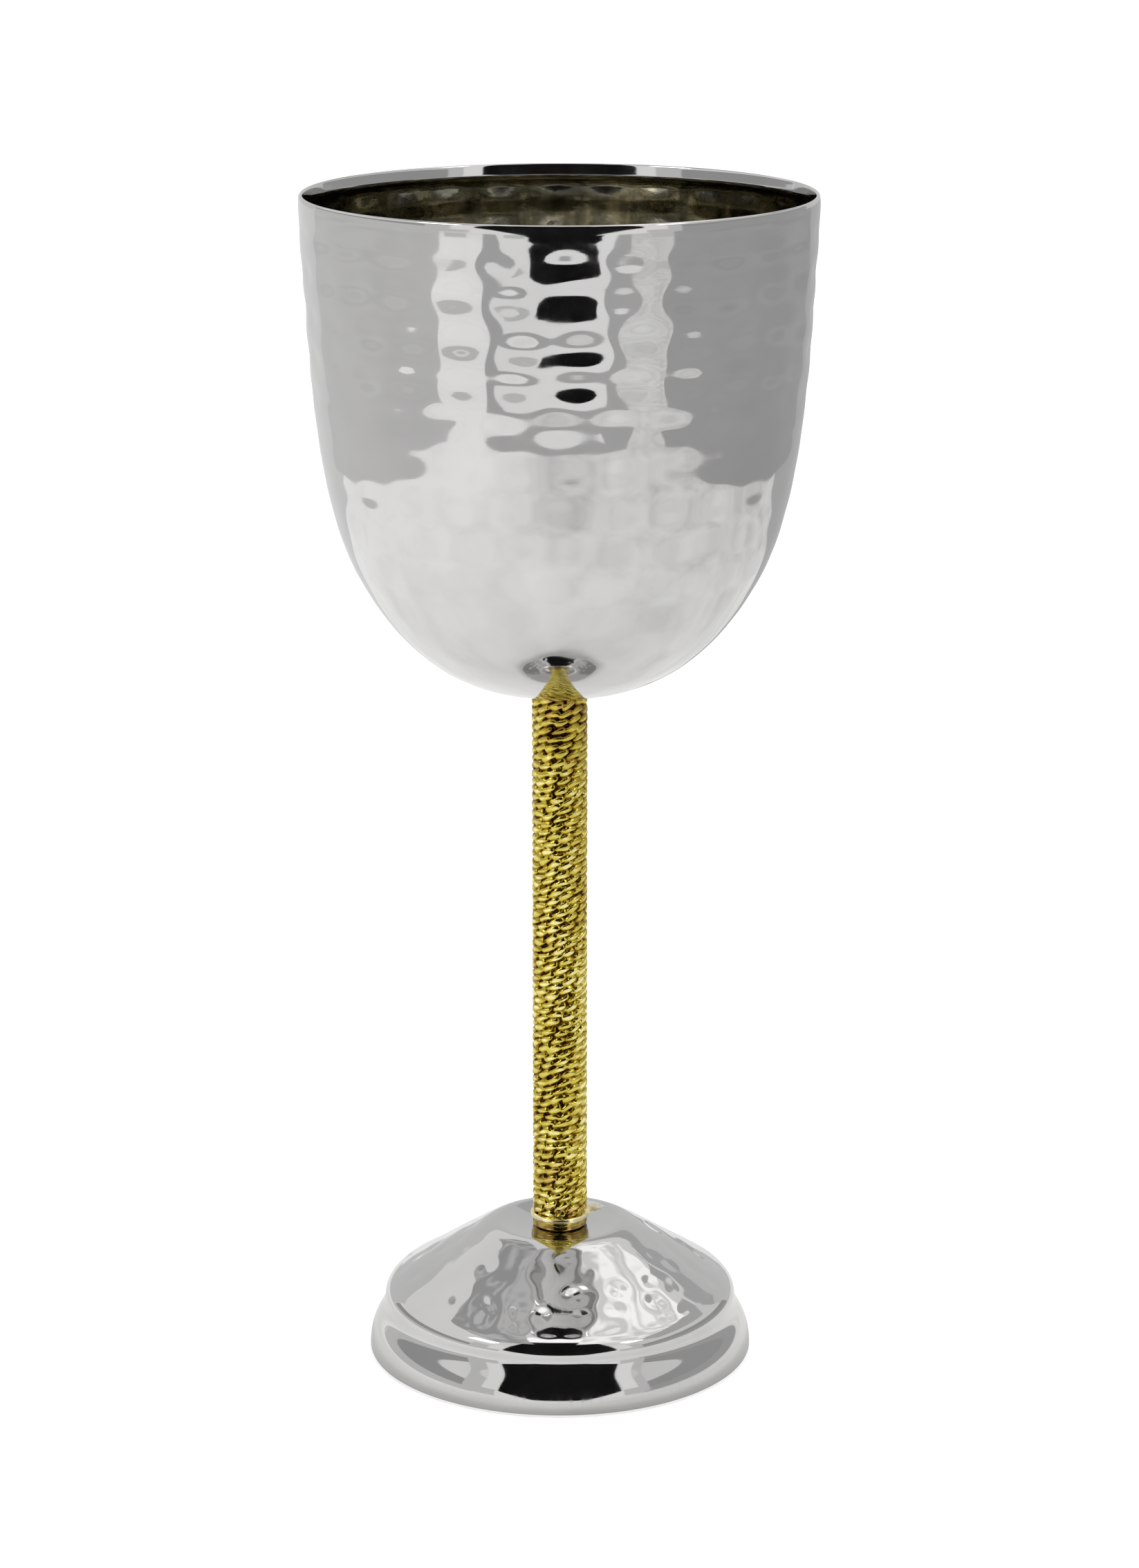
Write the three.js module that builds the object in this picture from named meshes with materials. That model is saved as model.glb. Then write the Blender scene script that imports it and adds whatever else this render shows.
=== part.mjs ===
// Kiddush cup: a hammered bowl on a slim, rope-laid stem that stands in a collar on a hammered,
// stepped foot. Bowl and foot are thin sheet metal, hollow and open; stem and collar are solid.
// Millimetres, +Z up. The origin is the centre of the foot's underside, and +Z is the cup's axis.
// Every outline is a list of [radius, height] pairs in the half plane beside the axis.
import * as THREE from 'three';

// Driving dimensions
const CUP_HEIGHT = 200;
const SHEET = 0.9;
const SEAT_RADIUS = 5.6;

const FOOT_RADIUS = 32.95;
const FOOT_SEAT_HEIGHT = 22;
const FOOT_EDGE_WIDTH = 1.6;
const FOOT_MARKS_AROUND = 28;
const FOOT_MARK_DEPTH = 0.25;

const COLLAR_RADIUS = 4.7;
const BEAD_RADIUS = 5.1;
const BAND_HEIGHT = 1.5;
const BEAD_HEIGHT = 1.0;
const COLLAR_COLUMNS = 28;

const STEM_RADIUS = 4.7;
const CORDS = 13;
const CORD_RELIEF = 0.38;
const CORD_LAY_DEG = 23;
const STEM_ROWS = 22;

const BOWL_BASE_HEIGHT = 117.4;
const BOWL_RADIUS = 42.3;
const MOUTH_RADIUS = 41.4;
const LIP_HEIGHT = 2.8;
const BOWL_MARKS_AROUND = 36;
const BOWL_MARK_DEPTH = 0.3;
const MARKS_START = 14;
const MARKS_FULL = 34;
const BOTTOM_ROWS = 6;

const STEM_BASE_HEIGHT = FOOT_SEAT_HEIGHT + BAND_HEIGHT + BEAD_HEIGHT;

// A point of an outline. depth is how far the hammer marks sink there, and turn is an angle about
// the axis by which the whole ring at that point is carried round.
function station(radius, height, depth = 0, turn = 0) {
  return { radius, height, depth, turn };
}

// Unit vector out of the solid at station k, for an outline that keeps the solid on its left.
function outward(outline, k) {
  const before = outline[Math.max(k - 1, 0)];
  const after = outline[Math.min(k + 1, outline.length - 1)];
  const along = new THREE.Vector2(after.radius - before.radius, after.height - before.height);
  return new THREE.Vector2(along.y, -along.x).normalize();
}

// Turns a closed solid from an outline that starts and ends on the axis. Hammer marks are a
// staggered lattice: every other corner of the grid is sunk, and the faces fold along the ridges.
// ripple(column) is added to the radius of each column, for cords laid along the surface.
function turned(outline, columns, ripple = () => 0) {
  const positions = [];
  const faces = [];
  const last = outline.length - 1;
  const sunk = (k, column) => (k + column) % 2 === 0;

  for (let k = 1; k < last; k += 1) {
    const { radius, height, depth, turn } = outline[k];
    const normal = outward(outline, k);
    for (let column = 0; column < columns; column += 1) {
      const angle = turn + (2 * Math.PI * column) / columns;
      const dent = sunk(k, column) ? depth : 0;
      const r = radius - dent * normal.x + ripple(column);
      positions.push(r * Math.cos(angle), r * Math.sin(angle), height - dent * normal.y);
    }
  }
  const firstPole = positions.length / 3;
  positions.push(0, 0, outline[0].height);
  const lastPole = firstPole + 1;
  positions.push(0, 0, outline[last].height);

  const corner = (k, column) => (k - 1) * columns + (column % columns);
  for (let column = 0; column < columns; column += 1) {
    faces.push(firstPole, corner(1, column + 1), corner(1, column));
    faces.push(corner(last - 1, column), corner(last - 1, column + 1), lastPole);
    for (let k = 1; k < last - 1; k += 1) {
      const a = corner(k, column);
      const b = corner(k, column + 1);
      const c = corner(k + 1, column + 1);
      const d = corner(k + 1, column);
      if (sunk(k, column)) faces.push(a, b, d, b, c, d);
      else faces.push(a, b, c, a, c, d);
    }
  }
  const geometry = new THREE.BufferGeometry();
  geometry.setAttribute('position', new THREE.Float32BufferAttribute(positions, 3));
  geometry.setIndex(faces);
  geometry.computeVertexNormals();
  return geometry;
}

// Samples a curve into stations at equal steps, without its first point. depthAt(height) gives
// the depth of the hammer marks.
function along(curve, steps, depthAt = () => 0) {
  return curve
    .getSpacedPoints(steps)
    .slice(1)
    .map((point) => station(point.x, point.y, depthAt(point.y)));
}

// The inside of a sheet: the curve moved to the left of its direction by the sheet's thickness.
function inside(curve, steps) {
  return Array.from({ length: steps }, (_, k) => {
    const u = (k + 0.5) / steps;
    const point = curve.getPointAt(u);
    const tangent = curve.getTangentAt(u);
    return station(point.x - SHEET * tangent.y, point.y + SHEET * tangent.x);
  }).reverse();
}

function bezier(...corners) {
  return new THREE.CubicBezierCurve(...corners.map(([r, z]) => new THREE.Vector2(r, z)));
}

// The U-shaped bowl: a smooth round bottom and a hammered side, which meet where the wall turns
// up. The marks are as tall as they are wide, and fade out above the bottom.
function bowlGeometry() {
  const base = BOWL_BASE_HEIGHT;
  const lipStart = CUP_HEIGHT - LIP_HEIGHT;
  const knee = [33.5, base + 20.1];
  const bottom = bezier([SEAT_RADIUS, base], [21, base], [28.7, base + 11], knee);
  const side = bezier(knee, [40, base + 32.3], [40.8, base + 52], [BOWL_RADIUS, lipStart]);
  const markPitch = (2 * Math.PI * BOWL_RADIUS) / BOWL_MARKS_AROUND;
  const sideRows = Math.round(side.getLength() / (markPitch / 2));
  const markDepth = (height) =>
    height > lipStart - 1 ? 0
      : BOWL_MARK_DEPTH * THREE.MathUtils.smoothstep(height - base, MARKS_START, MARKS_FULL);
  const lip = [
    station(BOWL_RADIUS, lipStart + 1.4),
    station(BOWL_RADIUS - 0.5, CUP_HEIGHT),
    station(MOUTH_RADIUS, lipStart + 1.3),
  ];
  const outline = [
    station(0, base),
    station(SEAT_RADIUS, base),
    ...along(bottom, BOTTOM_ROWS),
    ...along(side, sideRows, markDepth),
    ...lip,
    ...inside(side, 4),
    ...inside(bottom, 4),
    station(0, base + SHEET),
  ];
  return turned(outline, 2 * BOWL_MARKS_AROUND);
}

// The foot: a dished seat for the stem, a hammered cone, a rounded shoulder and a flared step.
// Its outline runs up from the middle of the hollow underside, round the standing edge and back.
function footGeometry() {
  const seat = FOOT_SEAT_HEIGHT;
  const edge = FOOT_RADIUS - FOOT_EDGE_WIDTH;
  const step = bezier([FOOT_RADIUS, 1.4], [FOOT_RADIUS, 5.2], [30.3, 6.6], [30.3, 9.3]);
  const shoulder = bezier([30.3, 9.3], [30.3, 10.6], [29.6, 11.6], [28.3, 12.4]);
  const cone = new THREE.LineCurve(new THREE.Vector2(28.3, 12.4), new THREE.Vector2(14.2, 21.4));
  const brow = bezier([14.2, 21.4], [12.9, 22.2], [12.2, 22.9], [10.8, 22.8]);
  const hollow = [
    [SEAT_RADIUS, seat - SHEET],
    [11.2, seat - SHEET + 0.8],
    [13.7, 20.5],
    [27.7, 11.6],
    [29.3, 9.6],
    [29.5, 8],
    [edge, 4.2],
    [edge, 0],
  ];
  const outline = [
    station(0, seat - SHEET),
    ...hollow.map(([r, z]) => station(r, z)),
    station(FOOT_RADIUS, 0),
    station(FOOT_RADIUS, 1.4),
    ...along(step, 4),
    ...along(shoulder, 2),
    ...along(cone, 6, (height) => (height > 21.3 ? 0 : FOOT_MARK_DEPTH)),
    ...along(brow, 2),
    station(SEAT_RADIUS, seat),
    station(0, seat),
  ];
  return turned(outline, 2 * FOOT_MARKS_AROUND);
}

// The collar: a plain band with a rounded bead on top, which the stem stands on.
function collarGeometry() {
  const base = FOOT_SEAT_HEIGHT;
  const beadBase = base + BAND_HEIGHT;
  const outline = [
    station(0, base),
    station(COLLAR_RADIUS - 0.3, base),
    station(COLLAR_RADIUS, base + 0.3),
    station(COLLAR_RADIUS, beadBase),
    station(BEAD_RADIUS, beadBase + 0.3 * BEAD_HEIGHT),
    station(BEAD_RADIUS, beadBase + 0.7 * BEAD_HEIGHT),
    station(COLLAR_RADIUS, beadBase + BEAD_HEIGHT),
    station(0, beadBase + BEAD_HEIGHT),
  ];
  return turned(outline, COLLAR_COLUMNS);
}

// The stem: thirteen cords laid right-handed round a straight rod, three columns to each cord.
function stemGeometry() {
  const length = BOWL_BASE_HEIGHT - STEM_BASE_HEIGHT;
  const turnPerHeight = Math.tan(THREE.MathUtils.degToRad(CORD_LAY_DEG)) / STEM_RADIUS;
  const columnsPerCord = 3;
  const valley = (column) => (column % columnsPerCord === 0 ? 0 : -CORD_RELIEF);
  const rings = Array.from({ length: STEM_ROWS + 1 }, (_, k) => {
    const rise = (length * k) / STEM_ROWS;
    return station(STEM_RADIUS, STEM_BASE_HEIGHT + rise, 0, rise * turnPerHeight);
  });
  const outline = [station(0, STEM_BASE_HEIGHT), ...rings, station(0, BOWL_BASE_HEIGHT)];
  return turned(outline, columnsPerCord * CORDS, valley);
}

const silver = { color: 0xcfcfd2, roughness: 0.12, metalness: 1 };
const gold = { color: 0xc9a23a, roughness: 0.25, metalness: 1 };

function piece(name, geometry, finish) {
  const mesh = new THREE.Mesh(geometry, new THREE.MeshStandardMaterial(finish));
  mesh.name = name;
  return mesh;
}

const cup = new THREE.Group();
cup.name = 'kiddush_cup';
cup.add(
  piece('foot', footGeometry(), silver),
  piece('stem_collar', collarGeometry(), gold),
  piece('stem', stemGeometry(), gold),
  piece('bowl', bowlGeometry(), silver),
);

export default cup;
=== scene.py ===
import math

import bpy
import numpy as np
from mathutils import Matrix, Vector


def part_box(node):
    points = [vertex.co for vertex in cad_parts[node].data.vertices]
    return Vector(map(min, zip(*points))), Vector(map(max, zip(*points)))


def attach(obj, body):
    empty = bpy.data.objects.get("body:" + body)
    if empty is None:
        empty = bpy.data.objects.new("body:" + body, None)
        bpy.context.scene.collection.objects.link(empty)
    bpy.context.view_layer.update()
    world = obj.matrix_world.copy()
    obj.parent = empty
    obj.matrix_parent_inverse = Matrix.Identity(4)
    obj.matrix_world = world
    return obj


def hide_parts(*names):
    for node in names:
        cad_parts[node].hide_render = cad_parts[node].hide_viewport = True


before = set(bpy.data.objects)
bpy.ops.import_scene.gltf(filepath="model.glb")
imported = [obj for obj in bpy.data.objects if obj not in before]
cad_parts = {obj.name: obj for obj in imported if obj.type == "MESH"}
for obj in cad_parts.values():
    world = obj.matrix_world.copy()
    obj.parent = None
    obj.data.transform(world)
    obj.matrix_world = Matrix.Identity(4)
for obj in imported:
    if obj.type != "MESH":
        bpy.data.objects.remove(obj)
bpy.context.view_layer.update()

# Kiddush cup: the visible surfaces of the bowl, the stem, the collar and the foot, each turned about
# the cup's axis and standing where its CAD node stands. Outlines are in millimetres, as lists of
# (radius, height), and every one runs with the solid on its left. Other sizes of the cup are in
# millimetres too, while the finished meshes, the materials and the stage are in metres.

MM = 0.001


def span(node):
    """Lowest height, highest height and widest radius of a CAD node, in millimetres."""
    low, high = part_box(node)
    return low.z / MM, high.z / MM, high.x / MM


BOWL_BASE, CUP_TOP, BOWL_RADIUS = span("bowl")
STEM_BASE, STEM_TOP, STEM_RADIUS = span("stem")
COLLAR_BASE, COLLAR_TOP, BEAD_RADIUS = span("stem_collar")
FOOT_RADIUS = span("foot")[2]

SHEET = 0.9
SEAT_RADIUS = 5.6
SEAT_RING = SEAT_RADIUS / 2


# ---------------------------------------------------------------- outlines

def bezier(*corners, steps=200):
    """Points along a cubic curve, its first and last included."""
    p0, p1, p2, p3 = (np.array(corner, float) for corner in corners)
    t = np.linspace(0, 1, steps)[:, None]
    return (1 - t) ** 3 * p0 + 3 * (1 - t) ** 2 * t * p1 + 3 * (1 - t) * t**2 * p2 + t**3 * p3


def chain(*pieces):
    """Joins stretches end to end, dropping the points that they share."""
    rows = [np.array(pieces[0], float)]
    rows += [np.array(piece, float)[1:] for piece in pieces[1:]]
    return np.vstack(rows)


def lengths(points):
    """Distance along the outline to each of its points."""
    steps = np.linalg.norm(np.diff(points, axis=0), axis=1)
    return np.concatenate([[0], np.cumsum(steps)])


def evenly(points, spacing):
    """The same stretch with points at equal steps of about the spacing."""
    travelled = lengths(points)
    count = max(int(round(travelled[-1] / spacing)), 1) + 1
    at = np.linspace(0, travelled[-1], count)
    return np.stack([np.interp(at, travelled, points[:, k]) for k in (0, 1)], axis=1)


def outward(points):
    """Unit vectors out of the solid along an outline that keeps the solid on its left."""
    tangent = np.gradient(points, axis=0)
    tangent /= np.linalg.norm(tangent, axis=1)[:, None]
    return np.stack([tangent[:, 1], -tangent[:, 0]], axis=1)


def smoothstep(value, start, end):
    """Nought before the start and one after the end, with a smooth climb between them."""
    t = np.clip((value - start) / (end - start), 0, 1)
    return t * t * (3 - 2 * t)


# ---------------------------------------------------------------- turned meshes

MARK_REACH = 2.5


def column_angles(columns):
    """The angle of each column of a turned mesh, as one row."""
    return (2 * np.pi * np.arange(columns) / columns)[None, :]


def lattice_faces(rows, columns):
    """Faces of a turned mesh: squares between its rows, then a fan of triangles from its first row
    and one from its last row to the two points on the axis, which come after all the rows."""
    here = np.arange(rows * columns).reshape(rows, columns)
    right = np.roll(here, -1, axis=1)
    squares = np.stack([here[:-1], right[:-1], right[1:], here[1:]], axis=-1).reshape(-1, 4)
    start = np.full(columns, rows * columns)
    first_fan = np.stack([start, right[0], here[0]], axis=-1)
    last_fan = np.stack([here[-1], right[-1], start + 1], axis=-1)
    return squares.tolist() + first_fan.tolist() + last_fan.tolist()


def turned(name, points, columns, rise, sharp_deg=50, facing=None):
    """A closed mesh turned from an outline that starts and ends on the axis. rise holds how far
    each grid point stands out of the outline's surface, one row for each point of the outline.
    facing gives the way out at each point where it isn't square to the outline."""
    facing = outward(points) if facing is None else facing
    grid = points[1:-1, None, :] + rise[1:-1, :, None] * facing[1:-1, None, :]
    theta = column_angles(columns)
    rows = len(points) - 2
    vertices = np.empty((rows * columns + 2, 3))
    vertices[:-2, 0] = (grid[..., 0] * np.cos(theta)).ravel()
    vertices[:-2, 1] = (grid[..., 0] * np.sin(theta)).ravel()
    vertices[:-2, 2] = grid[..., 1].ravel()
    vertices[-2] = (0, 0, points[0, 1])
    vertices[-1] = (0, 0, points[-1, 1])

    mesh = bpy.data.meshes.new(name)
    mesh.from_pydata((vertices * MM).tolist(), [], lattice_faces(rows, columns))
    mesh.shade_smooth()
    mesh.set_sharp_from_angle(angle=math.radians(sharp_deg))
    piece = bpy.data.objects.new(name, mesh)
    bpy.context.scene.collection.objects.link(piece)
    return piece


def hammered(points, columns, levels, around, depth, spread, sideways, jitter, uneven, seed):
    """Depth in millimetres of hammer marks under a surface turned from the outline, nought on
    average. The marks are round dents in rows, at levels along the outline; around gives each
    row's number of marks and its first mark's angle in turns. A dent fades to a third of its depth
    at the spread from its middle, and sideways makes it narrower or wider than it is high. jitter
    and uneven are how far the dents stray in place and in depth, in parts of their spacing and
    depth."""
    rng = np.random.default_rng(seed)
    travelled = lengths(points)[:, None]
    radius = points[:, 0][:, None]
    turns = np.arange(columns)[None, :] / columns
    pitch = abs(levels[1] - levels[0])
    total = np.zeros((len(points), columns))
    for level, (count, start) in zip(levels, around):
        near = np.abs(travelled[:, 0] - level) < MARK_REACH * pitch
        slide, climb = rng.normal(0, jitter * pitch, (2, count))
        strength = rng.normal(1, uneven, count)
        place = (turns - start) * count
        spacing = 2 * np.pi * max(np.interp(level, travelled[:, 0], points[:, 0]), 1) / count
        squeeze = sideways * pitch / spacing
        for side in (-1, 0, 1):
            mark = np.round(place).astype(int) + side
            which = mark % count
            across = ((place - mark) * 2 * np.pi / count * radius - slide[which]) * squeeze
            up = travelled - level - climb[which]
            dent = strength[which] * np.exp(-(across**2 + up**2) / spread**2)
            total[near] += dent[near]
    return depth * (total - total.mean())


def waves(points, columns, size, seed, count=14):
    """Gentle uneven swelling of a turned surface, mostly between -1 and 1, with no seam. It is the
    sum of a count of waves, none much shorter than the size."""
    rng = np.random.default_rng(seed)
    travelled = lengths(points)[:, None]
    theta = column_angles(columns)
    turns_most = 2 * np.pi * points[:, 0].max() / size
    total = np.zeros((len(points), columns))
    for _ in range(count):
        turns = int(rng.integers(1, max(int(turns_most), 2)))
        climb = rng.uniform(-1, 1) * 2 * np.pi / size
        total += np.sin(turns * theta + climb * travelled + rng.uniform(0, 2 * np.pi))
    return total / math.sqrt(count)


# ---------------------------------------------------------------- the bowl

BOWL_COLUMNS = 384
BOWL_STEP = 0.64
LIP_HEIGHT = 2.8
LIP_OUTER_STEP = 0.4
LIP_EDGE_STEP = 0.12
LIP_INNER_STEP = 0.3

BOWL_MARK_PITCH = 6.75
BOWL_MARKS_AROUND = 28
BOWL_MARKS = dict(depth=0.31, spread=2.24, sideways=0.85, jitter=0.07, uneven=0.1, seed=11)
BOWL_SWELL = 0.04
BOWL_SWELL_SIZE = 26

# The first mark's angle in turns, how far the rows stray round the bowl, in parts of a mark's
# width, and how far below the lip the top row lies.
FIRST_MARK_TURNS = 0.7563
ROW_STRAY = 0.13
TOP_ROW_DROP = 2.3

# The share of the marks' depth near the stem, and what two climbs add to it: how much, and the
# heights over the bowl's base where each begins and ends.
FAINTEST_SHARE = 0.12
SHARE_CLIMBS = ((0.18, 8, 34), (0.72, 47, 56))

# Towards the rim the marks fade out between these two depths below the top, and towards the seat
# they fade out over this distance.
PLAIN_RIM = (6.2, 3.4)
PLAIN_SEAT = 6


def bowl_wall():
    """Outside of the bowl from its seat on the stem to the start of the lip."""
    base = BOWL_BASE
    knee = (33.5, base + 20.1)
    lip_start = CUP_TOP - LIP_HEIGHT
    turning = (25.8, base + 9.1)
    underside = bezier((SEAT_RADIUS, base), (13.5, base), (20.3, base + 3.44), turning)
    bottom = chain(underside, bezier(turning, (28.9, base + 12.3), (31.4, base + 16.1), knee))
    side = bezier(knee, (40, base + 32.3), (40.8, base + 52), (BOWL_RADIUS, lip_start))
    return evenly(chain(bottom, side), BOWL_STEP)


def bowl_lip():
    """The rounded lip: outside, crown, and an inner face that leans back a little."""
    top = CUP_TOP
    outside = BOWL_RADIUS
    crown = (outside - 0.4, top)
    inner_top = (outside - 0.74, top - 0.5)
    inner_low = (outside - 0.96, top - 1.7)
    outer = bezier(
        (outside, top - LIP_HEIGHT),
        (outside + 0.045, top - 2.0),
        (outside + 0.06, top - 1.2),
        (outside - 0.04, top - 0.4),
        steps=30,
    )
    shoulder = bezier(outer[-1], (outside - 0.07, top - 0.16), (outside - 0.2, top), crown, steps=30)
    turn = bezier(crown, (outside - 0.62, top), (outside - 0.68, top - 0.2), inner_top)
    under = bezier(
        inner_low,
        (outside - 1.0, top - 1.95),
        (outside - 0.98, top - 2.4),
        (outside - 0.92, top - LIP_HEIGHT),
    )
    edge = evenly(chain(shoulder, turn), LIP_EDGE_STEP)
    inner = evenly(chain([inner_top, inner_low], under), LIP_INNER_STEP)
    return chain(evenly(outer, LIP_OUTER_STEP), edge, inner)


def bowl_relief(wall):
    """How far the hammered wall stands out of its outline. The marks are strong in the upper half
    and faint in the lower half, and there are none at the rim or the seat."""
    levels = np.arange(lengths(wall)[-1] - TOP_ROW_DROP, 0, -BOWL_MARK_PITCH)
    shifts = np.random.default_rng(4).normal(0, ROW_STRAY / BOWL_MARKS_AROUND, len(levels))
    around = [(BOWL_MARKS_AROUND, FIRST_MARK_TURNS + shift) for shift in shifts]
    marks = hammered(wall, BOWL_COLUMNS, levels, around, **BOWL_MARKS)
    swell = BOWL_SWELL * waves(wall, BOWL_COLUMNS, BOWL_SWELL_SIZE, seed=3)
    radius, height = wall[:, 0][:, None], wall[:, 1][:, None]
    share = FAINTEST_SHARE
    for added, start, end in SHARE_CLIMBS:
        share = share + added * smoothstep(height, BOWL_BASE + start, BOWL_BASE + end)
    rim_free = 1 - smoothstep(height, CUP_TOP - PLAIN_RIM[0], CUP_TOP - PLAIN_RIM[1])
    seat_free = smoothstep(radius, SEAT_RADIUS, SEAT_RADIUS + PLAIN_SEAT)
    return rim_free * (swell - share * marks) * seat_free


def line_bowl(bowl, inside_row):
    """Gives the bowl its materials, with the inner one from a row of faces on. Of the two fans that
    close the mesh, the first is outside and the last inside."""
    bowl.data.materials.append(bowl_silver_material())
    bowl.data.materials.append(inside_material())
    faces = len(bowl.data.polygons)
    slots = np.zeros(faces, np.int32)
    slots[inside_row * BOWL_COLUMNS:faces - 2 * BOWL_COLUMNS] = 1
    slots[faces - BOWL_COLUMNS:] = 1
    bowl.data.polygons.foreach_set("material_index", slots)


def make_bowl():
    wall = bowl_wall()
    lip = bowl_lip()[1:-1]
    inside = (wall - SHEET * outward(wall))[::-2]
    axis_out = [(0, BOWL_BASE), (SEAT_RING, BOWL_BASE)]
    points = np.vstack([axis_out, wall, lip, inside, [(0, BOWL_BASE + SHEET)]])

    wall_start = len(axis_out)
    wall_end = wall_start + len(wall)
    inside_start = wall_end + len(lip)
    relief = bowl_relief(wall)
    rise = np.zeros((len(points), BOWL_COLUMNS))
    rise[wall_start:wall_end] = relief
    rise[inside_start:-1] = -relief[::-2]
    bowl = turned("hammered_bowl", points, BOWL_COLUMNS, rise)
    line_bowl(bowl, inside_start - 1)
    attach(bowl, "root")
    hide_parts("bowl")


# ---------------------------------------------------------------- the foot

FOOT_COLUMNS = 384
FOOT_STEP = 0.25
HOLLOW_STEP = 2.0
FOOT_EDGE_WIDTH = 1.6

FOOT_MARK_PITCH = 4.4
FOOT_MARKS = dict(depth=0.12, spread=1.8, sideways=1.0, jitter=0.2, uneven=0.5, seed=5)
FOOT_SWELL = 0.03
FOOT_SWELL_SIZE = 14

# Up the cone the marks come in between the first two heights, and this share of them is lost again
# between the last two. Towards the seat the rest fades out over this distance.
CONE_START = (12.0, 13.2)
CONE_END = (20.6, 21.9)
LOST_ON_TOP = 0.9
PLAIN_DISH = 3

# The middle of the painted reflection of the gold stem in the dish, the distances from it where
# this painted reflection starts to fade and ends, and how far its edge strays. The rubbing marks
# fade out between two heights.
STEM_REFLECTION_SPOT = (5.5, 6.2, 22.6)
REFLECTION_FADE = (1.2, 1.7)
REFLECTION_RAGGED = 0.7
RUBBED_EDGE = (2.4, 4.0)


def foot_underside():
    """The hollow under the seat, the inside of the foot and the turn into the edge it stands on."""
    seat = COLLAR_BASE
    edge = FOOT_RADIUS - FOOT_EDGE_WIDTH
    hollow = [
        (SEAT_RADIUS, seat - SHEET),
        (11.2, seat - SHEET + 0.8),
        (13.7, 20.5),
        (27.7, 11.6),
        (29.3, 9.6),
        (29.5, 8),
        (edge, 4.2),
        (edge, 0.25),
    ]
    standing = bezier((edge, 0.25), (edge + 0.1, 0), (edge + 0.15, 0), (edge + 0.25, 0), steps=5)
    return np.vstack([[(0, seat - SHEET)], evenly(np.array(hollow), HOLLOW_STEP), standing[1:]])


def foot_outer_edge():
    """The turn from the ground up into the flare."""
    radius = FOOT_RADIUS
    return bezier((radius - 0.35, 0), (radius - 0.1, 0), (radius, 0.1), (radius, 0.4), steps=7)


def foot_top():
    """The flare, the shoulder, the cone and the brow of the foot, and the dish round the collar."""
    radius = FOOT_RADIUS
    waist = (30.3, 9.3)
    cone_base = (28.3, 12.4)
    cone_top = (15.6, 20.5)
    brim = (10.4, 22.75)
    flare = bezier((radius, 0.4), (radius + 0.02, 5.6), (30.35, 6.4), waist)
    shoulder = bezier(waist, (30.3, 10.7), (29.6, 11.5), cone_base)
    brow = bezier(cone_top, (13.6, 21.8), (12.2, 22.8), brim)
    dish = [brim, (SEAT_RADIUS, COLLAR_BASE)]
    return evenly(chain(flare, shoulder, [cone_base, cone_top], brow, dish), FOOT_STEP)


def foot_relief(top):
    """How far the hammered cone stands out of its outline."""
    levels = np.arange(0, lengths(top)[-1], FOOT_MARK_PITCH)
    radii = np.interp(levels, lengths(top), top[:, 0])
    counts = np.maximum(np.round(2 * np.pi * radii / FOOT_MARK_PITCH), 3).astype(int)
    around = list(zip(counts, np.random.default_rng(6).uniform(0, 1, len(levels))))
    marks = hammered(top, FOOT_COLUMNS, levels, around, **FOOT_MARKS)
    radius, height = top[:, 0][:, None], top[:, 1][:, None]
    fade = smoothstep(height, *CONE_START) * (1 - LOST_ON_TOP * smoothstep(height, *CONE_END))
    fade = fade * smoothstep(radius, SEAT_RADIUS, SEAT_RADIUS + PLAIN_DISH)
    swell = FOOT_SWELL * waves(top, FOOT_COLUMNS, FOOT_SWELL_SIZE, seed=8)
    return fade * (swell - marks)


def make_foot():
    before = np.vstack([foot_underside(), foot_outer_edge()[:-1]])
    top = foot_top()
    axis_in = [(SEAT_RING, COLLAR_BASE), (0, COLLAR_BASE)]
    points = np.vstack([before, top, axis_in])
    rise = np.zeros((len(points), FOOT_COLUMNS))
    rise[len(before):len(before) + len(top)] = foot_relief(top)
    foot = turned("hammered_foot", points, FOOT_COLUMNS, rise, sharp_deg=60)
    foot.data.materials.append(foot_silver_material())
    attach(foot, "root")
    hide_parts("foot")


# ---------------------------------------------------------------- the stem and its collar

STEM_COLUMNS = 156
STEM_STEP = 0.152
CORDS = 13
CORD_LAY_DEG = 23

# Each strand winds round the middle of its cord at the offset. It is wider while it is on top, and
# beside it the surface drops.
STRAND_RADIUS = 0.52
STRAND_OFFSET = 0.5
STRAND_TOP = STRAND_OFFSET + STRAND_RADIUS
STRAND_WIDENING = 0.4
STRAND_DROP = 0.6

# Lumps, where a strand comes to the top of its cord, are this far apart along the stem, and lie in
# this many spiral rows round it.
LUMP_SPACING = 1.65
LUMP_ROWS = 4

# How much the cords differ in the phase of their twist and in the width of their strands.
CORD_SLIP = 0.35
CORD_FATTENING = 0.05

# Gaps between strands count down to the limit under their tops. The deepest are sunk by the depth,
# and the higher the power, the less the shallow ones are.
PIT_LIMIT = 1.05
PIT_DEPTH = 0.75
PIT_POWER = 2.3

# Both ends of the stem are rounded off over a height, from a little beyond the end, by a depth.
ROUNDED_END = 0.5
END_LEAD = 0.1
END_DEPTH = 0.4
END_PIT = 0.5

# How uneven the cords are along the stem, round it, in width and in height: the strength of the
# waves, their size, their seed and their count.
UNEVENNESS = {
    "along": (0.15, 4.5, 31, 24),
    "round": (0.08, 6.0, 32, 24),
    "width": (0.16, 2.6, 33, 30),
    "height": (0.1, 2.2, 34, 30),
}

COLLAR_COLUMNS = 192
BEAD_HEIGHT = 0.95
GROOVE_DEPTH = 0.15
COLLAR_SWELL = 0.05
COLLAR_SWELL_SIZE = 5


def unevenness(side, kind):
    """One kind of waves over the stem's side."""
    strength, size, seed, count = UNEVENNESS[kind]
    return strength * waves(side, STEM_COLUMNS, size, seed, count)


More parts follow.
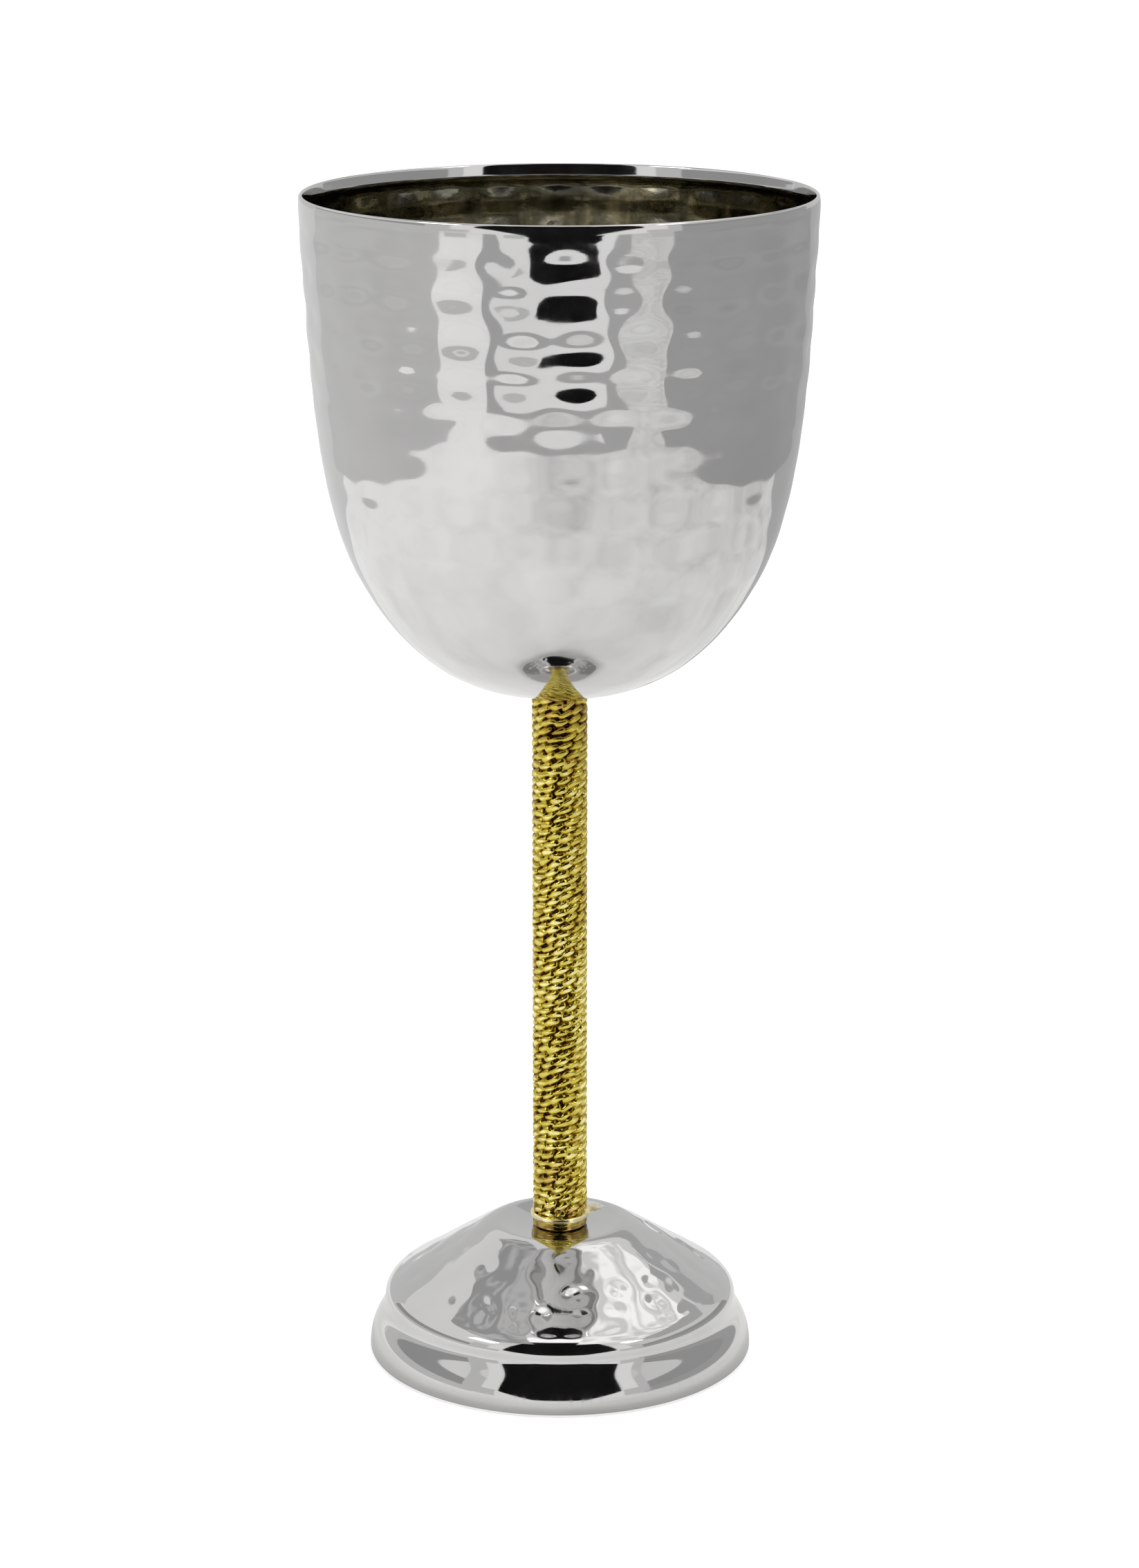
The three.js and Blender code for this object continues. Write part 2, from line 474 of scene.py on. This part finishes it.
def strand(across, phase, radius):
    """Height of one strand over the middle of its cord, at a distance across the cord. The phase
    says where the strand is on its way round the other one. It is widest on top."""
    middle = STRAND_OFFSET * np.sin(phase)
    lift = STRAND_OFFSET * np.cos(phase)
    half_width = radius * (1 + STRAND_WIDENING * np.clip(np.cos(phase), 0, 1))
    inside = np.clip(1 - ((across - middle) / half_width) ** 2, 0, 1)
    return lift + STRAND_RADIUS * np.sqrt(inside) - (inside == 0) * STRAND_DROP


def cords(side):
    """How far the wound cords stand out of the stem's core, one row for each point of its side.
    Each cord is two strands twisted together, and lies round the stem at the lay angle. The cords
    wander, and their strands are pressed out of shape here and there."""
    rng = np.random.default_rng(21)
    theta = column_angles(STEM_COLUMNS)
    lean = math.radians(CORD_LAY_DEG)
    height = side[:, 1][:, None] + unevenness(side, "along")
    lay = (theta - math.tan(lean) / STEM_RADIUS * height) * CORDS / (2 * np.pi)
    lay = lay + unevenness(side, "round")
    width = 2 * np.pi * (STEM_RADIUS - STRAND_RADIUS) / CORDS * math.cos(lean)
    slip = rng.normal(0, CORD_SLIP, CORDS)
    fat = rng.normal(1, CORD_FATTENING, CORDS)
    pressed = 1 + unevenness(side, "width")
    lumps = 2 * np.pi * height / LUMP_SPACING + LUMP_ROWS * theta
    best = np.full((len(side), STEM_COLUMNS), -1.0)
    for beside in (-1, 0, 1):
        cord = np.round(lay) + beside
        which = cord.astype(int) % CORDS
        across = (lay - cord) * width
        for opposite in (0, math.pi):
            phase = lumps / 2 + slip[which] + opposite
            best = np.maximum(best, strand(across, phase, STRAND_RADIUS * fat[which] * pressed))
    best = best + unevenness(side, "height")
    return np.clip(best, STRAND_TOP - PIT_LIMIT, STRAND_TOP)


def make_stem():
    side = evenly(np.array([(STEM_RADIUS, STEM_BASE), (STEM_RADIUS, STEM_TOP)]), STEM_STEP)
    height = side[:, 1]
    ends = smoothstep(height, STEM_BASE - END_LEAD, STEM_BASE + ROUNDED_END)
    ends = ends * (1 - smoothstep(height, STEM_TOP - ROUNDED_END, STEM_TOP + END_LEAD))
    gap = ((STRAND_TOP - cords(side)) / PIT_LIMIT).clip(0, 1)
    points = np.vstack([[(0, STEM_BASE)], side, [(0, STEM_TOP)]])
    rise = np.zeros((len(points), STEM_COLUMNS))
    rise[1:-1] = -PIT_DEPTH * gap**PIT_POWER - END_DEPTH * (1 - ends[:, None])
    sideways = np.tile((1.0, 0.0), (len(points), 1))
    stem = turned("rope_stem", points, STEM_COLUMNS, rise, sharp_deg=85, facing=sideways)
    pits = stem.data.attributes.new("pit", "FLOAT", "POINT")
    depth = np.append(gap.ravel(), [END_PIT, END_PIT])
    pits.data.foreach_set("value", depth.astype(np.float32))
    stem.data.materials.append(rope_gold_material())
    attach(stem, "root")
    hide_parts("stem")


def make_collar():
    base, top = COLLAR_BASE, COLLAR_TOP
    band = STEM_RADIUS
    bead_base = top - BEAD_HEIGHT
    neck = band - GROOVE_DEPTH
    # The handles of the bead's curve stand out half as far again as the bead.
    bulge = band + 1.5 * (BEAD_RADIUS - band)
    edge = (band - 0.7, base)
    rounded = bezier(edge, (band - 0.3, base), (band, base + 0.2), (band, base + 0.6), steps=12)
    groove = [(band, bead_base - 0.25), (neck, bead_base)]
    bead = bezier((neck, bead_base), (bulge, bead_base), (bulge, top), (neck, top), steps=20)
    outline = chain([(0, base), edge], rounded, [rounded[-1], groove[0]], groove, bead)
    outline = np.vstack([outline, [(0, top)]])
    rise = COLLAR_SWELL * waves(outline, COLLAR_COLUMNS, COLLAR_SWELL_SIZE, seed=2, count=10)
    rise[:2] = 0
    rise[-2:] = 0
    collar = turned("stem_collar_ring", outline, COLLAR_COLUMNS, rise, sharp_deg=40)
    collar.data.materials.append(plain_gold_material())
    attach(collar, "root")
    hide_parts("stem_collar")


# ---------------------------------------------------------------- materials

class Nodes:
    """Short helpers for one material's node tree. Places and sizes in it are in metres."""

    def __init__(self, name):
        self.material = bpy.data.materials.new(name)
        self.material.use_nodes = True
        self.tree = self.material.node_tree
        self.shader = self.tree.nodes["Principled BSDF"]
        self.place = self.tree.nodes.new("ShaderNodeTexCoord").outputs["Object"]

    def new(self, kind, **values):
        """A node of a kind, with its settings."""
        node = self.tree.nodes.new("ShaderNode" + kind)
        for key, value in values.items():
            setattr(node, key, value)
        return node

    def link(self, source, target):
        self.tree.links.new(source, target)

    def drive(self, name, source):
        """Feeds one of the shader's sockets."""
        self.link(source, self.shader.inputs[name])

    def along(self, axis):
        """The distance along X, Y or Z."""
        node = self.new("SeparateXYZ")
        self.link(self.place, node.inputs["Vector"])
        return node.outputs[axis]

    def stretched(self, scale):
        """Places for a noise that is longer one way than another."""
        mapping = self.new("Mapping")
        mapping.inputs["Scale"].default_value = scale
        self.link(self.place, mapping.inputs["Vector"])
        return mapping.outputs["Vector"]

    def noise(self, scale, detail=3, roughness=0.55, vector=None):
        node = self.new("TexNoise")
        node.inputs["Scale"].default_value = scale
        node.inputs["Detail"].default_value = detail
        node.inputs["Roughness"].default_value = roughness
        self.link(vector or self.place, node.inputs["Vector"])
        return node.outputs["Fac"]

    def distance(self, point):
        """The distance from a point."""
        node = self.new("VectorMath", operation="DISTANCE")
        self.link(self.place, node.inputs[0])
        node.inputs[1].default_value = point
        return node.outputs["Value"]

    def ramp(self, factor, *stops):
        """A colour for each factor, from stops of position and colour."""
        node = self.new("ValToRGB")
        elements = node.color_ramp.elements
        while len(elements) < len(stops):
            elements.new(0.5)
        for element, (position, colour) in zip(elements, stops):
            element.position = position
            element.color = (*colour, 1)
        self.link(factor, node.inputs["Fac"])
        return node.outputs["Color"]

    def fit(self, value, low, high, to_low, to_high):
        """The value moved from one range to another, and held inside it."""
        node = self.new("MapRange")
        ends = {"From Min": low, "From Max": high, "To Min": to_low, "To Max": to_high}
        for name, number in ends.items():
            node.inputs[name].default_value = number
        self.link(value, node.inputs["Value"])
        return node.outputs["Result"]

    def maths(self, operation, first, second=0):
        node = self.new("Math", operation=operation)
        for socket, value in zip(node.inputs, (first, second)):
            if isinstance(value, (int, float)):
                socket.default_value = value
            else:
                self.link(value, socket)
        return node.outputs["Value"]

    def blend(self, factor, first, second):
        """One colour turning into another as the factor grows from nought to one."""
        node = self.new("Mix", data_type="RGBA")
        self.link(factor, node.inputs["Factor"])
        self.link(first, node.inputs["A"])
        self.link(second, node.inputs["B"])
        return node.outputs["Result"]

    def bump(self, height, strength, distance):
        node = self.new("Bump")
        node.inputs["Strength"].default_value = strength
        node.inputs["Distance"].default_value = distance
        self.link(height, node.inputs["Height"])
        self.drive("Normal", node.outputs["Normal"])


def metal_nodes(name):
    """Nodes of a bare metal."""
    nodes = Nodes(name)
    nodes.shader.inputs["Metallic"].default_value = 1.0
    return nodes


def polished_nodes(name, roughness):
    """Nodes of mirror-polished white metal, faintly uneven in tone, with a fine haze of wiping
    marks. Its colour and its roughness come back too, still to be joined to the shader."""
    nodes = metal_nodes(name)
    colour = nodes.ramp(nodes.noise(55, 3), (0.3, (0.63, 0.625, 0.62)), (0.7, (0.68, 0.675, 0.668)))
    haze = nodes.noise(240, 4, 0.65)
    rough = nodes.fit(haze, 0.35, 0.7, roughness * 0.7, roughness * 1.5)
    fine = nodes.noise(2600, 2, 0.5, nodes.stretched((1, 1, 0.12)))
    nodes.bump(fine, 0.03, 0.00002)
    return nodes, colour, rough


def bowl_silver_material():
    nodes, colour, rough = polished_nodes("polished_silver", 0.055)
    nodes.drive("Base Color", colour)
    nodes.drive("Roughness", rough)
    return nodes.material


def foot_silver_material():
    """The same silver with a small ragged gold patch beside the collar, a painted reflection of the
    gold stem, and upright rubbing marks just above the edge that the foot stands on."""
    nodes, colour, rough = polished_nodes("polished_silver_foot", 0.05)
    # Painted reflection of the gold stem: a ragged gold patch in the dish beside the collar.
    ragged = nodes.noise(700, 3)
    stray = nodes.fit(ragged, 0.3, 0.7, -REFLECTION_RAGGED * MM, REFLECTION_RAGGED * MM)
    apart = nodes.maths("ADD", nodes.distance([place * MM for place in STEM_REFLECTION_SPOT]), stray)
    reflected_stem = nodes.fit(apart, REFLECTION_FADE[0] * MM, REFLECTION_FADE[1] * MM, 0.8, 0.0)
    gold_tone = nodes.ramp(ragged, (0.38, (0.3, 0.23, 0.06)), (0.62, (0.66, 0.57, 0.26)))
    nodes.drive("Base Color", nodes.blend(reflected_stem, colour, gold_tone))
    streaks = nodes.noise(900, 3, 0.6, nodes.stretched((1, 1, 0.06)))
    low = nodes.fit(nodes.along("Z"), RUBBED_EDGE[0] * MM, RUBBED_EDGE[1] * MM, 1.0, 0.0)
    rub = nodes.maths("MULTIPLY", nodes.fit(streaks, 0.45, 0.7, 0.0, 0.2), low)
    nodes.drive("Roughness", nodes.maths("ADD", rough, rub))
    return nodes.material


def inside_material():
    """The bowl's inside: the same metal, a little rougher, its colour darkened and warmed as painted
    shade, with pale patches as painted reflections.
    """
    nodes = metal_nodes("silver_inside")
    # Painted shade and painted reflections: the dark, warm stops darken the inside, and the pale
    # stop paints reflected light in patches.
    colour = nodes.ramp(
        nodes.noise(130, 4, 0.6),
        (0.4, (0.27, 0.26, 0.21)),
        (0.54, (0.4, 0.38, 0.29)),
        (0.64, (0.85, 0.78, 0.58)),
    )
    nodes.drive("Base Color", colour)
    nodes.drive("Roughness", nodes.fit(nodes.noise(420, 3), 0.3, 0.7, 0.06, 0.14))
    nodes.bump(nodes.noise(900, 3), 0.12, 0.0001)
    return nodes.material


def rope_gold_material():
    """Gold cords: bright pale yellow on top of the strands as a painted highlight, brown to black in
    the pits between them as painted shade, darker towards the bowl as painted shade under it, and
    worn to copper in patches, most of them near the stem's ends."""
    nodes = metal_nodes("rope_gold")
    pit = nodes.new("Attribute", attribute_name="pit").outputs["Fac"]
    height = nodes.along("Z")
    grain = nodes.fit(nodes.noise(700, 3), 0.3, 0.7, -0.13, 0.13)
    patches = nodes.fit(nodes.noise(110, 3), 0.3, 0.7, -0.24, 0.24)
    # Painted shade under the bowl: the upper part of the stem is pushed darker.
    shade_under_bowl = nodes.fit(height, STEM_TOP * MM * 0.6, STEM_TOP * MM, 0.0, 0.16)
    deep = nodes.maths("ADD", nodes.maths("ADD", pit, grain), nodes.maths("ADD", patches, shade_under_bowl))
    # This ramp paints a highlight on the tops of the strands and paints shade, brown to black, in
    # the pits between them.
    gold_tone = nodes.ramp(
        deep,
        (0.0, (0.96, 0.86, 0.36)),
        (0.14, (0.72, 0.61, 0.12)),
        (0.5, (0.62, 0.48, 0.06)),
        (0.78, (0.36, 0.21, 0.02)),
        (0.98, (0.05, 0.025, 0.008)),
    )
    copper = nodes.ramp(
        deep,
        (0.1, (0.6, 0.34, 0.1)),
        (0.6, (0.22, 0.09, 0.02)),
        (0.95, (0.04, 0.02, 0.01)),
    )
    middle = (STEM_BASE + STEM_TOP) / 2 * MM
    from_middle = nodes.maths("ABSOLUTE", nodes.maths("SUBTRACT", height, middle))
    near_end = nodes.fit(from_middle, 0.03, 0.046, 0.15, 1.0)
    worn = nodes.fit(nodes.noise(300, 2), 0.5, 0.62, 0.0, 0.75)
    bare = nodes.maths("MULTIPLY", worn, near_end)
    nodes.drive("Base Color", nodes.blend(bare, gold_tone, copper))
    nodes.drive("Roughness", nodes.fit(deep, 0.1, 0.9, 0.04, 0.28))
    nodes.bump(nodes.noise(2500, 2), 0.3, 0.00008)
    return nodes.material


def plain_gold_material():
    """Smooth gilding, pale and bright on the bead as a painted highlight, and darkened on the band
    under it as painted shade.
    """
    nodes = metal_nodes("plain_gold")
    bead_base = (COLLAR_TOP - BEAD_HEIGHT) * MM
    # Painted highlight on the bead and painted shade on the band under it: above the bead's base the
    # ramp reaches its pale stops, below it the dark ones.
    bead = nodes.fit(nodes.along("Z"), bead_base - 0.0002, bead_base + 0.0002, 0.0, 0.6)
    patches = nodes.fit(nodes.noise(420, 2), 0.3, 0.7, 0.0, 0.4)
    colour = nodes.ramp(
        nodes.maths("ADD", bead, patches),
        (0.05, (0.1, 0.06, 0.015)),
        (0.3, (0.5, 0.34, 0.08)),
        (0.5, (0.82, 0.66, 0.22)),
        (0.8, (0.95, 0.88, 0.52)),
    )
    nodes.drive("Base Color", colour)
    nodes.drive("Roughness", nodes.fit(nodes.noise(600, 2), 0.3, 0.7, 0.08, 0.2))
    nodes.bump(nodes.noise(1500, 2), 0.08, 0.00005)
    return nodes.material


# ---------------------------------------------------------------- stage materials

# How bright each card glows.
TONES = {
    "black": 0.006,
    "shade": 0.38,
    "dark_grey": 0.43,
    "mid_grey": 0.5,
    "grey": 0.66,
    "pale_grey": 0.76,
    "room": 0.86,
    "pale": 0.95,
    "bright": 1.45,
}
BACKGROUND = 1.3
GLINT = 6.0


def matt_nodes(name):
    """Nodes of a surface without any shine."""
    nodes = Nodes(name)
    nodes.shader.inputs["Roughness"].default_value = 0.9
    nodes.shader.inputs["Specular IOR Level"].default_value = 0.0
    return nodes


def floor_material():
    nodes = matt_nodes("floor")
    nodes.shader.inputs["Base Color"].default_value = (0.9, 0.9, 0.9, 1)
    return nodes.material


def table_material():
    """Pale paper, better lit on the left than on the right, with a soft shadow in front of the cup
    and a dark one close round its foot."""
    nodes = matt_nodes("table")
    foot = FOOT_RADIUS * MM
    side = nodes.fit(nodes.along("X"), -0.3, 0.3, 0.0, 0.6)
    in_front = nodes.fit(nodes.distance((0, -0.34, 0)), 0.04, 0.17, 0.35, 0.0)
    at_foot = nodes.fit(nodes.distance((0, 0, 0)), foot + 0.002, foot + 0.007, 0.3, 0.0)
    uneven = nodes.fit(nodes.noise(14, 4), 0.3, 0.7, -0.2, 0.2)
    shade = nodes.maths("ADD", nodes.maths("ADD", in_front, at_foot), uneven)
    colour = nodes.ramp(
        nodes.maths("ADD", side, shade),
        (0.0, (0.69, 0.69, 0.69)),
        (0.3, (0.62, 0.62, 0.615)),
        (0.6, (0.52, 0.52, 0.515)),
        (1.0, (0.32, 0.32, 0.31)),
    )
    nodes.drive("Base Color", colour)
    return nodes.material


def glowing_nodes(name):
    """Nodes of a card that only glows, white, with the strength of its glow still to be said."""
    nodes = Nodes(name)
    nodes.shader.inputs["Base Color"].default_value = (0, 0, 0, 1)
    nodes.shader.inputs["Specular IOR Level"].default_value = 0.0
    nodes.shader.inputs["Emission Color"].default_value = (1, 1, 1, 1)
    return nodes


def glow_material(name, tone):
    """A card of one even tone."""
    nodes = glowing_nodes(name)
    nodes.shader.inputs["Emission Strength"].default_value = tone
    return nodes.material


def mottled_material(name, low, high, scale):
    """A card whose tone wanders between two values."""
    nodes = glowing_nodes(name)
    nodes.drive("Emission Strength", nodes.fit(nodes.noise(scale, 1), 0.4, 0.6, low, high))
    return nodes.material


# ---------------------------------------------------------------- stage

# The camera's place and lens are in millimetres.
CAMERA_DISTANCE = 672.4
CAMERA_HEIGHT = 281.0
CAMERA_ASIDE = 1.65
CAMERA_PITCH_DEG = 15.01
LENS = 94.95238
SENSOR = 36.0

FLOOR_HALF = 6.0
ROOM_HALF = 2.4
BACK_LOW_TOP = 1.5
OPENING_Y = -2.0
OPENING_HALF = 1.48
OPENING_TOP = 1.8
LOFT = 2.2
NEAR_CEILING = 0.9

# Cards on the table lie over each other in layers this far apart.
LAYER = 0.0004

# The cards at the sides begin at the table's edge and widen, away from the cup, to the far walls.
TABLE_HALF = 0.402
FAR_WALL = 2.2
SIDE_SPREAD = FAR_WALL / TABLE_HALF
LOW_WALL_TOP = 0.35
HIGH_WALL_TOP = 0.9

# The grey beyond the table wanders between these two parts of its tone, at this scale.
MOTTLE = (0.95, 1.04)
MOTTLE_SCALE = 1.2


def make_camera():
    data = bpy.data.cameras.new("camera")
    data.sensor_width = SENSOR
    data.lens = LENS
    camera = bpy.data.objects.new("camera", data)
    camera.location = Vector((CAMERA_ASIDE, -CAMERA_DISTANCE, CAMERA_HEIGHT)) * MM
    camera.rotation_euler = (math.radians(90 - CAMERA_PITCH_DEG), 0, 0)
    bpy.context.scene.collection.objects.link(camera)
    bpy.context.scene.camera = camera


def make_world():
    world = bpy.data.worlds.new("studio")
    world.use_nodes = True
    background = world.node_tree.nodes["Background"]
    background.inputs["Color"].default_value = (1.0, 1.0, 1.0, 1)
    background.inputs["Strength"].default_value = BACKGROUND
    bpy.context.scene.world = world
    bpy.context.scene.view_settings.view_transform = "Standard"


def lamp(name, place, size, power):
    """An area lamp that is aimed at the middle of the cup and doesn't show in the metal."""
    aim = Vector((0, 0, 0.1))
    data = bpy.data.lights.new(name, "AREA")
    data.shape = "RECTANGLE"
    data.size, data.size_y = size
    data.energy = power
    light = bpy.data.objects.new(name, data)
    light.location = place
    light.rotation_euler = (aim - Vector(place)).to_track_quat("-Z", "Y").to_euler()
    light.visible_glossy = False
    bpy.context.scene.collection.objects.link(light)


def sheet(name, corners, material):
    """A flat stage card."""
    mesh = bpy.data.meshes.new(name)
    mesh.from_pydata([tuple(corner) for corner in corners], [], [tuple(range(len(corners)))])
    mesh.materials.append(material)
    card = bpy.data.objects.new(name, mesh)
    bpy.context.scene.collection.objects.link(card)
    return card


def flag(name, corners, material):
    """A stage card that shows only in the polished metal."""
    card = sheet(name, corners, material)
    card.visible_camera = False
    card.visible_diffuse = False
    card.visible_shadow = False


def upright(name, start, end, low, high, material):
    """An upright flag over the floor line from start to end."""
    (x0, y0), (x1, y1) = start, end
    flag(name, [(x0, y0, low), (x1, y1, low), (x1, y1, high), (x0, y0, high)], material)


def lying(name, outline, height, material):
    """A flag that lies flat at a height."""
    flag(name, [(x, y, height) for x, y in outline], material)


def on_table(name, outline, layer, material):
    """A flag on the table, over all those in lower layers."""
    lying(name, outline, layer * LAYER, material)


def rectangle(x0, x1, y0, y1):
    return [(x0, y0), (x1, y0), (x1, y1), (x0, y1)]


def make_ground():
    """The floor that the camera sees, the lamp over it, and the table that the metal sees."""
    ground = rectangle(-FLOOR_HALF, FLOOR_HALF, -FLOOR_HALF, FLOOR_HALF)
    floor = sheet("floor", [(x, y, 0) for x, y in ground], floor_material())
    floor.visible_glossy = False
    lamp("softbox_above", (0.0, -0.1, 1.5), (1.6, 1.6), 8)
    on_table("table_flag", ground, 1, table_material())


def make_room(card):
    """Four walls and a ceiling round the table, with a greyer strip low on the back wall."""
    half = ROOM_HALF
    strip = half - 0.01
    for name, start, end, top, tone in (
        ("room_front", (-half, -half), (half, -half), half, "room"),
        ("room_right", (half, -half), (half, half), half, "pale_grey"),
        ("room_back_right", (half, half), (0, half), half, "mid_grey"),
        ("room_back_left", (0, half), (-half, half), half, "room"),
        ("room_back_low", (half, strip), (-half, strip), BACK_LOW_TOP, "grey"),
        ("room_left", (-half, half), (-half, -half), half, "room"),
    ):
        upright(name, start, end, 0, top, card[tone])
    lying("room_ceiling", rectangle(-half, half, -half, half), half, card["room"])


def make_opening(card):
    """The dark opening behind the camera, which widens upwards, and the softbox over it."""
    behind = OPENING_Y - 0.01
    upright("behind_opening", (-1.6, behind), (1.6, behind), 0, 0.5, card["pale"])
    half = OPENING_HALF
    right_side = [(0.55, 0), (1.08, 0.255), (half, 0.466), (half, OPENING_TOP)]
    left_side = [(-x, z) for x, z in reversed(right_side)]
    flag("opening", [(x, OPENING_Y, z) for x, z in right_side + left_side], card["black"])
    lying("softbox_front", rectangle(-1.0, 1.0, -0.6, -0.2), LOFT, card["bright"])
    top_low = [(-half, OPENING_Y, OPENING_TOP), (half, OPENING_Y, OPENING_TOP)]
    top_high = [(0.5, -0.6, LOFT), (-0.5, -0.6, LOFT)]
    flag("opening_top", top_low + top_high, card["black"])


def make_table_shades(card):
    """What lies on the table between the cup and the opening."""
    far = OPENING_Y
    dark_left = [(-0.55, far), (-0.31, -1.35), (-0.22, -0.95), (-0.15, -0.82), (-0.05, -0.76)]
    dark_right = [(0.1, -0.76), (0.23, -0.83), (0.32, -0.97), (0.46, -1.4), (0.7, far)]
    left_shade = [(-0.87, far), (-0.5, -1.15), (-0.3, -1.15), (-0.53, far)]
    pale_floor = [(-1.02, far), (-0.22, -0.5), (0.2, -0.5), (0.95, far)]
    seam = [(-1.27, far), (-0.27, -0.42), (0.25, -0.42), (1.2, far)]
    on_table("dark_floor", dark_left + dark_right, 5, card["black"])
    on_table("left_shade", left_shade, 4.5, card["grey"])
    on_table("pale_floor", pale_floor, 3, card["pale"])
    on_table("seam", seam, 2, card["mid_grey"])


def make_side(name, side, tone, front, back, behind, card):
    """The cards at one side of the cup: the grey beyond the table, from front to back along the
    table's edge, with a low and a high wall at its far end, a shade on the table, the part behind,
    and an upright softbox."""
    near, far = side * TABLE_HALF, side * FAR_WALL
    far_front, far_back = (far, front * SIDE_SPREAD), (far, back * SIDE_SPREAD)
    low, high = (TONES[tone] * part for part in MOTTLE)
    mottled = mottled_material("card_mottled_" + name, low, high, MOTTLE_SCALE)
    on_table(name + "_beyond_table", [(near, front), far_front, far_back, (near, back)], 4, mottled)
    upright(name + "_low_wall", far_front, far_back, 0, LOW_WALL_TOP, card[tone])
    upright(name + "_high_wall", far_front, far_back, LOW_WALL_TOP, HIGH_WALL_TOP, card["shade"])
    shade = ((0.75, -0.9), (0.9, -0.755), (1.84, -1.54), (1.54, -1.84))
    on_table(name + "_front_shade", [(side * x, y) for x, y in shade], 3, card["grey"])
    on_table(name + "_behind", rectangle(0, far, 0.3, 2.3), 3, card[behind])
    upright(name + "_softbox", (side * 0.56, -0.74), (side * 0.68, -0.64), 0.2, 0.8, card["pale"])


def make_glint(name, side):
    """A small bright card high at one side, for the glints on the cords."""
    start, end = (side * 0.75, -0.6), (side * 0.95, -0.3)
    upright(name, start, end, 0.9, 1.2, glow_material("card_" + name, GLINT))


def make_near_ceiling(card):
    """Cards above the cup, for the inside of the bowl and the foot's flat top."""
    dim = mottled_material("card_mottled_grey", 0.4, 0.62, 7)
    lit = mottled_material("card_mottled_white", 0.84, 1.32, 7)
    lying("ceiling_left", rectangle(-0.6, -0.2, -0.4, 0.8), NEAR_CEILING, dim)
    lying("ceiling_right", rectangle(0.13, 0.75, -0.4, 0.6), NEAR_CEILING, lit)
    lying("ceiling_far_right", rectangle(0.75, 1.3, -0.4, 0.8), NEAR_CEILING, card["mid_grey"])


def make_studio():
    make_camera()
    make_world()
    make_ground()
    card = {name: glow_material("card_" + name, tone) for name, tone in TONES.items()}
    make_room(card)
    make_opening(card)
    make_table_shades(card)
    make_side("left", -1, "grey", -0.31, 0.39, "pale_grey", card)
    make_side("right", 1, "dark_grey", -0.335, 0.55, "mid_grey", card)
    make_glint("glint_right", 1)
    make_glint("glint_left", -1)
    upright("left_reflector", (-1.6, OPENING_Y), (-1.7, -1.0), 0.05, 1.2, card["grey"])
    upright("right_reflector", (1.55, OPENING_Y), (1.65, -1.2), 0.05, 1.2, card["grey"])
    make_near_ceiling(card)


make_studio()
make_foot()
make_collar()
make_stem()
make_bowl()
